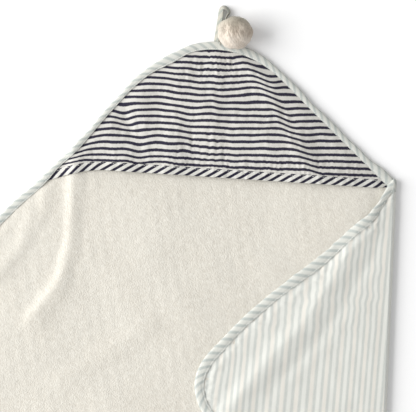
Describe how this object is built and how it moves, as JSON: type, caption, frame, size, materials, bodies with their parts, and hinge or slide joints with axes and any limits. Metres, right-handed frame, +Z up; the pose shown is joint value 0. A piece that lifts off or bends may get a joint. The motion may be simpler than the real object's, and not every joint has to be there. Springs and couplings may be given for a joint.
{
  "type": "hooded baby towel",
  "caption": "Hooded baby towel with a striped cotton hood, terry face, striped lining, bias-bound edges, hanging loop and felted pompom, laid out with a corner folded over.",
  "frame": {"origin": "centre of the unfolded towel square, on the surface that the towel lies on", "axes": "+Y from the towel's centre to the tip of the hood, +Z up out of the terry face, +X towards the folded corner"},
  "size_m": [0.764, 1.0348, 0.0468],
  "materials": {
    "terry": "matte",
    "striped_lining": "matte",
    "navy_stripe_cotton": "matte",
    "navy_binding": "matte",
    "sage_binding": "matte",
    "thread": "satin",
    "wool_felt": "matte"
  },
  "bodies": {
    "towel": {"lining_main": "striped_lining", "terry_main": "terry", "binding_main": "sage_binding", "stitch_main": "thread", "hood_lining": "terry", "hood_panel": "navy_stripe_cotton", "hood_mouth_binding": "navy_binding", "hood_mouth_stitch": "thread", "hanging_loop": "sage_binding", "lining_fold_bend": "striped_lining", "terry_fold_bend": "terry", "binding_fold_bend": "sage_binding"},
    "corner_flap": {"lining_flap": "striped_lining", "terry_flap": "terry", "binding_flap": "sage_binding", "stitch_flap": "thread"},
    "pompom_ball": {"pompom": "wool_felt", "pompom_tie": "thread"}
  },
  "joints": [
    {"name": "corner_fold", "type": "hinge", "parent": "towel", "child": "corner_flap", "pos_m": [0.2489, 0.28, 0.00495], "axis": [0.0436, 0.999, 0], "range_deg": [0, 180], "deforming": ["lining_fold_bend", "terry_fold_bend", "binding_fold_bend"]},
    {"name": "pompom_lift", "type": "hinge", "parent": "towel", "child": "pompom_ball", "pos_m": [0.02, 0.475, 0.0074], "axis": [1, 0, 0], "range_deg": [0, 50]}
  ]
}
